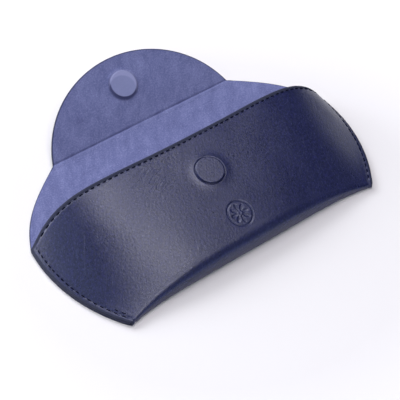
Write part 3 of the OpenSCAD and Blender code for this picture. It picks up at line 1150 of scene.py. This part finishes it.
pouch_leather = sheet_object("pouch_leather", pouch_leather_sheet(), [leather, flesh, edge], outward=True)
bend_over_fold(pouch_leather)
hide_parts("front_panel", "back_panel", "back_strip")

pouch_lining = sheet_object("pouch_lining", pouch_lining_sheet(), [suede, flesh, edge], outward=False)
bend_over_fold(pouch_lining)
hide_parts("front_lining", "back_lining", "strip_lining")

cover_leather_sheet, cover_lining_sheet = cover_sheets()
cover_leather = sheet_object("cover_leather", cover_leather_sheet, [leather, flesh, edge], outward=False)
bend_over_crease(cover_leather)
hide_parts("flap")

cover_lining = sheet_object("cover_lining", cover_lining_sheet, [suede, flesh, edge], outward=True)
bend_over_crease(cover_lining)
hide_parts("flap_lining")

stitch_row("mouth_thread", mouth_courses(), thread, "mouth_stitching")
stitch_row("left_seam_thread", seam_courses(-1) + lock_courses(-1), thread, "left_seam_stitching")
stitch_row("right_seam_thread", seam_courses(1), thread, "right_seam_stitching")

for name in ("front_magnet", "flap_magnet"):
    frame["nodes"][name].data.materials.clear()
    frame["nodes"][name].data.materials.append(nickel)


# -------------------------------- studio

def floor():
    """White paper that stays white to the horizon, where the lamps no longer reach it."""
    size = 3.0
    glow_start, glow_full = 0.1, 0.6
    corners = [(-size, -size, 0), (size, -size, 0), (size, size, 0), (-size, size, 0)]
    mesh = bpy.data.meshes.new("floor")
    mesh.from_pydata(corners, [], [(0, 1, 2, 3)])
    piece = bpy.data.objects.new("floor", mesh)
    bpy.context.scene.collection.objects.link(piece)
    s = Shader("white_paper")
    s.finish(PAPER_WHITE, 0.9, emission_color=WHITE)
    away = s.node("ShaderNodeVectorMath", operation="LENGTH")
    s.link(s.node("ShaderNodeTexCoord").outputs["Object"], away.inputs[0])
    seen = s.node("ShaderNodeLightPath").outputs["Is Camera Ray"]
    glow = s.math("MULTIPLY", s.remap(away.outputs["Value"], glow_start, glow_full), seen)
    s.link(glow, s.surface.inputs["Emission Strength"])
    mesh.materials.append(s.material)


def area_light(name, direction, distance, size, power, colour, twist=0):
    """Rectangle facing the case, its width level; twist turns it about its own axis, in degrees."""
    data = bpy.data.lights.new(name, "AREA")
    data.shape = "RECTANGLE"
    data.size, data.size_y = size
    data.energy = power
    data.color = colour
    lamp = bpy.data.objects.new(name, data)
    toward = Vector(direction).normalized()
    across = Vector((0, 1, 0)).cross(toward).normalized()
    level = Matrix((across, toward.cross(across), toward)).transposed()
    turn = level @ Matrix.Rotation(math.radians(twist), 3, "Z")
    lamp.matrix_world = Matrix.Translation(toward * distance) @ turn.to_4x4()
    bpy.context.scene.collection.objects.link(lamp)


def surroundings(strength, colour):
    """Dim room light on the case, with a white backdrop where the floor ends."""
    backdrop = 1.2
    world = bpy.data.worlds.new("studio")
    world.use_nodes = True
    tree = world.node_tree
    background = tree.nodes["Background"]
    background.inputs["Color"].default_value = (*colour, 1)
    rays = tree.nodes.new("ShaderNodeLightPath")
    levels = tree.nodes.new("ShaderNodeMapRange")
    levels.inputs["To Min"].default_value = strength
    levels.inputs["To Max"].default_value = backdrop
    tree.links.new(rays.outputs["Is Camera Ray"], levels.inputs["Value"])
    tree.links.new(levels.outputs["Result"], background.inputs["Strength"])
    bpy.context.scene.world = world


def camera():
    """The photograph's view, fitted to the outline of the case."""
    heading, dip, roll = (math.radians(a) for a in (36.25, 51.13, 1.32))
    distance, lens = 0.529, 96.6
    target = Vector((-0.0038, 0.0081, 0))
    away = Vector((-math.sin(heading) * math.cos(dip), -math.cos(heading) * math.cos(dip), math.sin(dip)))
    data = bpy.data.cameras.new("camera")
    data.lens = lens
    data.sensor_width = 36
    data.clip_start = 0.01
    view = bpy.data.objects.new("camera", data)
    turn = (-away).to_track_quat("-Z", "Y").to_matrix().to_4x4() @ Matrix.Rotation(roll, 4, "Z")
    view.matrix_world = Matrix.Translation(target + away * distance) @ turn
    bpy.context.scene.collection.objects.link(view)
    bpy.context.scene.camera = view


floor()
area_light("strip_softbox", (0.04, -0.12, 0.98), 1.0, (0.33, 1.4), 7.4, (1.0, 0.95, 0.99), twist=-14)
area_light("back_window", (-0.38, 0.82, 0.46), 1.5, (2.2, 0.8), 34.0, (0.94, 0.95, 1.0))
area_light("left_fill", (-0.85, -0.1, 0.52), 1.0, (1.0, 1.2), 2.2, (0.84, 0.92, 1.0))
area_light("right_card", (0.95, 0.1, 0.2), 1.2, (0.25, 0.3), 0.52, (0.97, 0.97, 1.0))
area_light("front_fill", (0.1, -0.95, 0.2), 1.5, (2.4, 0.5), 3.4, (0.5, 0.64, 1.0))
surroundings(0.06, (0.84, 0.9, 1.0))
camera()
bpy.context.scene.view_settings.view_transform = "Standard"
